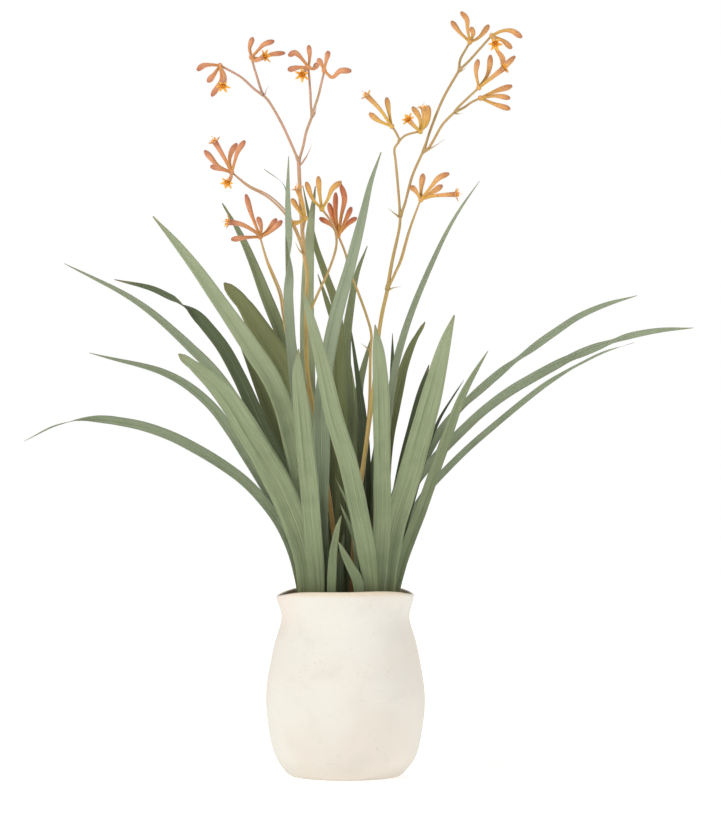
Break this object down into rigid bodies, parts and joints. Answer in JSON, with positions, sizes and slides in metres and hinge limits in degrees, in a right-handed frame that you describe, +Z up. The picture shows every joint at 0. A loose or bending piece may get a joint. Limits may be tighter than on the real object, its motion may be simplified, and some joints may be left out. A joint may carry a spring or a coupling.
{
  "type": "potted kangaroo paw",
  "caption": "Kangaroo paw plant with strap leaves and tall branching flower stems, growing in a rounded clay pot with a narrowed neck and a flared lip.",
  "frame": {"origin": "centre of the pot's flat underside, where it stands on the floor", "axes": "+Z up through the middle of the pot, +X to the plant's right seen from its show side, +Y away from its show side; units are metres"},
  "size_m": [0.6662, 0.2945, 0.7606],
  "materials": {
    "pot_clay": "matte",
    "potting_mix": "matte",
    "crown": "matte",
    "leaf": "satin",
    "stem": "matte",
    "flower_coral": "matte",
    "flower_gold": "matte"
  },
  "bodies": {
    "root": {"pot": "pot_clay", "soil": "potting_mix", "crown": "crown", "leaf_left_1": "leaf", "leaf_left_2": "leaf", "leaf_left_3": "leaf", "leaf_left_4": "leaf", "leaf_left_5": "leaf", "leaf_left_6": "leaf", "leaf_left_7": "leaf", "leaf_left_8": "leaf", "leaf_upright_1": "leaf", "leaf_upright_2": "leaf", "leaf_upright_3": "leaf", "leaf_upright_4": "leaf", "leaf_upright_5": "leaf", "leaf_upright_6": "leaf", "leaf_upright_7": "leaf", "leaf_front_1": "leaf", "leaf_front_2": "leaf", "leaf_front_3": "leaf", "leaf_front_4": "leaf", "leaf_front_5": "leaf", "leaf_right_1": "leaf", "leaf_right_2": "leaf", "leaf_right_3": "leaf", "leaf_right_4": "leaf", "leaf_right_5": "leaf", "leaf_right_6": "leaf", "leaf_back_1": "leaf", "leaf_back_2": "leaf", "leaf_back_3": "leaf", "leaf_back_4": "leaf", "leaf_back_5": "leaf", "leaf_back_6": "leaf", "leaf_back_7": "leaf", "leaf_young_1": "leaf", "leaf_young_2": "leaf", "leaf_young_3": "leaf", "leaf_young_4": "leaf", "leaf_young_5": "leaf", "stem_left": "stem", "stem_right": "stem", "stem_middle": "stem", "flowers_left_1": "flower_coral", "flowers_left_2": "flower_coral", "flowers_left_3": "flower_coral", "flowers_left_4": "flower_coral", "flowers_left_5": "flower_coral", "flowers_left_6": "flower_coral", "flowers_left_7": "flower_gold", "flowers_middle_1": "flower_gold", "flowers_middle_2": "flower_coral", "flowers_right_1": "flower_gold", "flowers_right_2": "flower_gold", "flowers_right_3": "flower_gold", "flowers_right_4": "flower_gold", "flowers_right_5": "flower_gold", "flowers_right_6": "flower_gold", "flowers_right_7": "flower_gold"}
  },
  "joints": []
}
